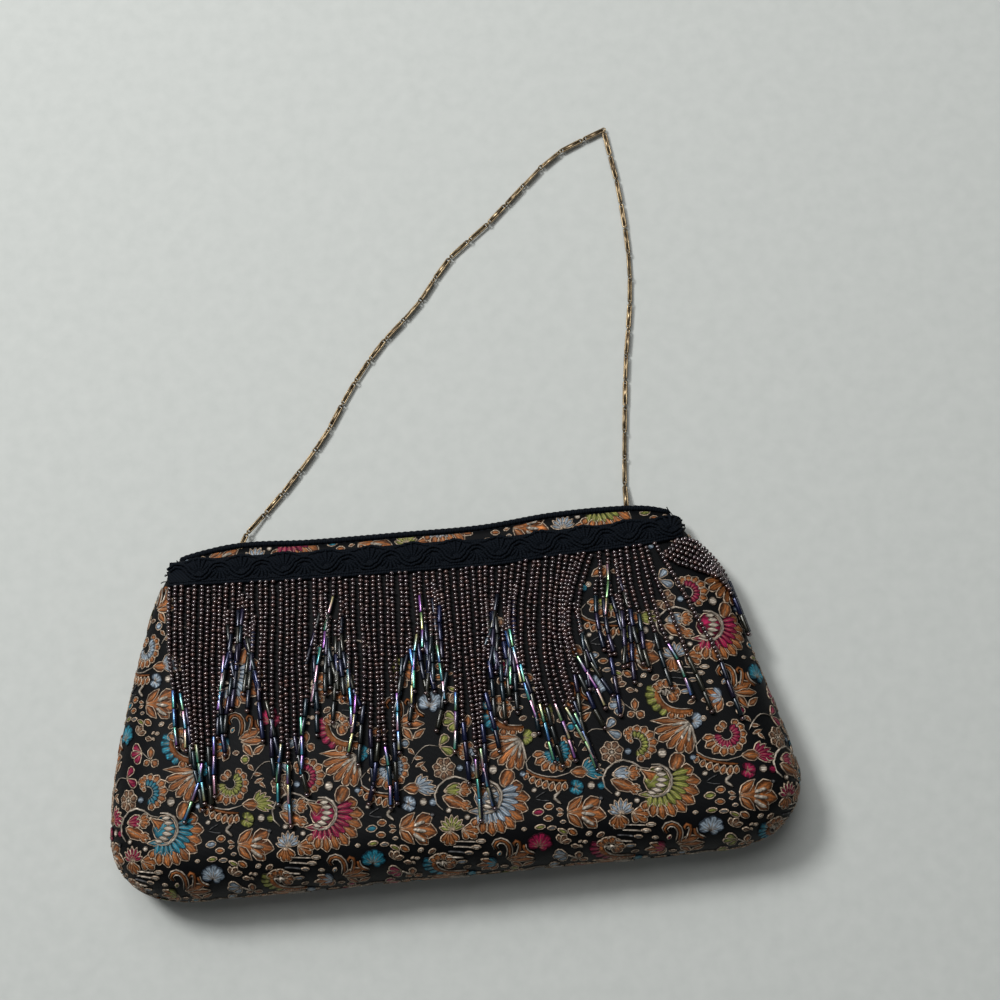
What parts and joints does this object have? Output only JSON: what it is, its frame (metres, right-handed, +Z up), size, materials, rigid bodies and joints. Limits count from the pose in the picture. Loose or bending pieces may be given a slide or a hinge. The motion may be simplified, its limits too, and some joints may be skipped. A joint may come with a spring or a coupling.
{
  "type": "beaded clutch bag",
  "caption": "Soft brocade evening clutch with an open mouth, a wavy braid, a zigzag bead fringe and a fine chain handle, lying on its back.",
  "frame": {"origin": "middle of the bag in plan, on the surface that its back lies on", "axes": "+Z up off that surface, +Y from the bag's bottom to its mouth and chain, +X along its width to the right of the front"},
  "size_m": [0.2467, 0.2816, 0.0356],
  "materials": {
    "brocade": "black satin brocade with rust and coloured flowers",
    "black_cord": "black braided cord",
    "beads": "bronze seed beads and dark iris tube beads",
    "old_gold": "worn old gold"
  },
  "bodies": {
    "root": {"front_panel": "brocade", "back_panel": "brocade", "mouth_rim": "black_cord", "braid_trim": "black_cord", "bead_fringe": "beads", "chain_left": "old_gold", "chain_right": "old_gold", "chain_eye_left": "old_gold", "chain_eye_right": "old_gold"}
  },
  "joints": []
}
